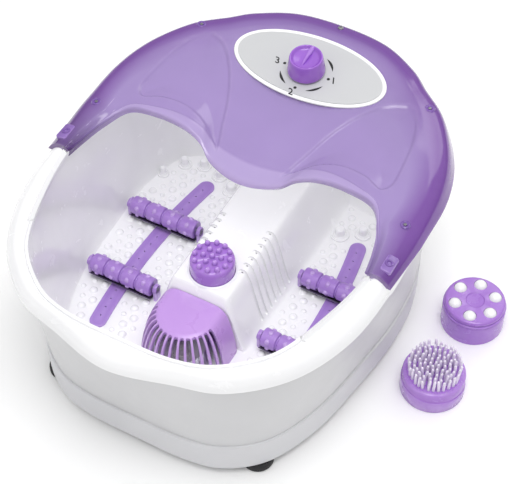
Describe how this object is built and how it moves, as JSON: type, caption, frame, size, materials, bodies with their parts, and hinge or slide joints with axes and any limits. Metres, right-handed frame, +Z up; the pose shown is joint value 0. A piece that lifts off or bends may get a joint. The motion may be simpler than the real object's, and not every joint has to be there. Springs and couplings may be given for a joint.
{
  "type": "foot spa basin",
  "caption": "Foot spa basin with massage rollers, bubble strips, a slotted heat lamp cover, a translucent splash guard with a rotary knob, and interchangeable massage heads.",
  "frame": {"origin": "on the standing plane, under the middle of the basin", "axes": "+X to the right of the user, +Y from the user to the knob, +Z up"},
  "size_m": [0.4195, 0.447, 0.2185],
  "materials": {
    "basin_white": "glossy moulded",
    "pan_white": "glossy moulded",
    "rubber_black": "matt",
    "screw_steel": "plain",
    "guard_lilac": "translucent gloss",
    "label_grey": "satin print",
    "inner_plastic": "moulded",
    "knob_violet": "gloss",
    "roller_violet": "satin",
    "lamp_violet": "satin",
    "reflector": "bright",
    "lens_clear": "clear",
    "bulb_glass": "clear",
    "head_violet": "satin",
    "ball_white": "polished",
    "bristle_lilac": "soft",
    "hose_clear": "soft"
  },
  "bodies": {
    "basin": {"tub": "basin_white", "outer_casing": "basin_white", "base_pan": "pan_white", "feet": "rubber_black", "base_screws": "screw_steel", "splash_guard": "guard_lilac", "guard_screws": "screw_steel", "panel_bezel": "basin_white", "panel_label": "label_grey", "control_housing": "inner_plastic", "rotary_switch": "inner_plastic", "switch_nut": "screw_steel", "axle_left_front": "screw_steel", "axle_left_rear": "screw_steel", "axle_right_front": "screw_steel", "axle_right_rear": "screw_steel", "roller_brackets": "roller_violet", "bubble_strip_left": "roller_violet", "bubble_strip_right": "roller_violet", "lamp_cover": "lamp_violet", "lamp_reflector": "reflector", "lamp_lens": "lens_clear", "lamp_bulbs": "bulb_glass", "head_holder": "basin_white", "heating_plate": "reflector", "thermostat": "inner_plastic", "motor_housing": "screw_steel", "blower_housing": "inner_plastic", "blower_cover": "inner_plastic", "motor_bracket": "screw_steel", "motor_screws": "screw_steel", "air_manifold": "inner_plastic", "air_hose_left": "hose_clear", "air_hose_right": "hose_clear", "terminal_block": "inner_plastic", "cord_gland": "rubber_black"},
    "knob_set": {"knob": "knob_violet", "switch_shaft": "screw_steel"},
    "roller_left_front": {"roller_left_front": "roller_violet"},
    "roller_left_rear": {"roller_left_rear": "roller_violet"},
    "roller_right_front": {"roller_right_front": "roller_violet"},
    "roller_right_rear": {"roller_right_rear": "roller_violet"},
    "rotor": {"motor_shaft": "screw_steel", "eccentric_weight": "screw_steel", "impeller": "inner_plastic"},
    "nub_head": {"nub_head": "head_violet"},
    "ball_head": {"ball_head_cup": "head_violet", "ball_head_lid": "head_violet"},
    "brush_head": {"brush_head_cup": "head_violet", "brush_bristles": "bristle_lilac"},
    "ball_1": {"ball_1": "ball_white"},
    "ball_2": {"ball_2": "ball_white"},
    "ball_3": {"ball_3": "ball_white"},
    "ball_4": {"ball_4": "ball_white"},
    "ball_5": {"ball_5": "ball_white"},
    "ball_6": {"ball_6": "ball_white"}
  },
  "joints": [
    {"name": "knob_turn", "type": "hinge", "parent": "basin", "child": "knob_set", "pos_m": [0, 0.15902, 0.19698], "axis": [0, 0.0872, -0.9962], "range_deg": [0, 270]},
    {"name": "roller_left_front_spin", "type": "hinge", "parent": "basin", "child": "roller_left_front", "pos_m": [-0.09333, -0.034, 0.048], "axis": [1, 0, 0], "continuous": true},
    {"name": "roller_left_rear_spin", "type": "hinge", "parent": "basin", "child": "roller_left_rear", "pos_m": [-0.09617, 0.048, 0.048], "axis": [1, 0, 0], "continuous": true},
    {"name": "roller_right_front_spin", "type": "hinge", "parent": "basin", "child": "roller_right_front", "pos_m": [0.09333, -0.034, 0.048], "axis": [1, 0, 0], "continuous": true},
    {"name": "roller_right_rear_spin", "type": "hinge", "parent": "basin", "child": "roller_right_rear", "pos_m": [0.09617, 0.048, 0.048], "axis": [1, 0, 0], "continuous": true},
    {"name": "rotor_spin", "type": "hinge", "parent": "basin", "child": "rotor", "pos_m": [0, 0.042, 0.052], "axis": [0, 1, 0], "continuous": true},
    {"name": "nub_head_lift", "type": "slide", "parent": "basin", "child": "nub_head", "axis": [0, 0, 1], "range_m": [0, 0.06]},
    {"name": "ball_head_lift", "type": "slide", "parent": "basin", "child": "ball_head", "axis": [0, 0, 1], "range_m": [0, 0.08]},
    {"name": "brush_head_lift", "type": "slide", "parent": "basin", "child": "brush_head", "axis": [0, 0, 1], "range_m": [0, 0.08]},
    {"name": "ball_1_roll", "type": "hinge", "parent": "ball_head", "child": "ball_1", "pos_m": [0.22776, 0.12431, 0.0294], "axis": [0.788, 0.6157, 0], "continuous": true},
    {"name": "ball_2_roll", "type": "hinge", "parent": "ball_head", "child": "ball_2", "pos_m": [0.20922, 0.13181, 0.0294], "axis": [-0.1392, 0.9903, 0], "continuous": true},
    {"name": "ball_3_roll", "type": "hinge", "parent": "ball_head", "child": "ball_3", "pos_m": [0.19346, 0.11949, 0.0294], "axis": [-0.9272, 0.3746, 0], "continuous": true},
    {"name": "ball_4_roll", "type": "hinge", "parent": "ball_head", "child": "ball_4", "pos_m": [0.19624, 0.09969, 0.0294], "axis": [-0.788, -0.6157, 0], "continuous": true},
    {"name": "ball_5_roll", "type": "hinge", "parent": "ball_head", "child": "ball_5", "pos_m": [0.21478, 0.09219, 0.0294], "axis": [0.1392, -0.9903, 0], "continuous": true},
    {"name": "ball_6_roll", "type": "hinge", "parent": "ball_head", "child": "ball_6", "pos_m": [0.23054, 0.10451, 0.0294], "axis": [0.9272, -0.3746, 0], "continuous": true}
  ]
}
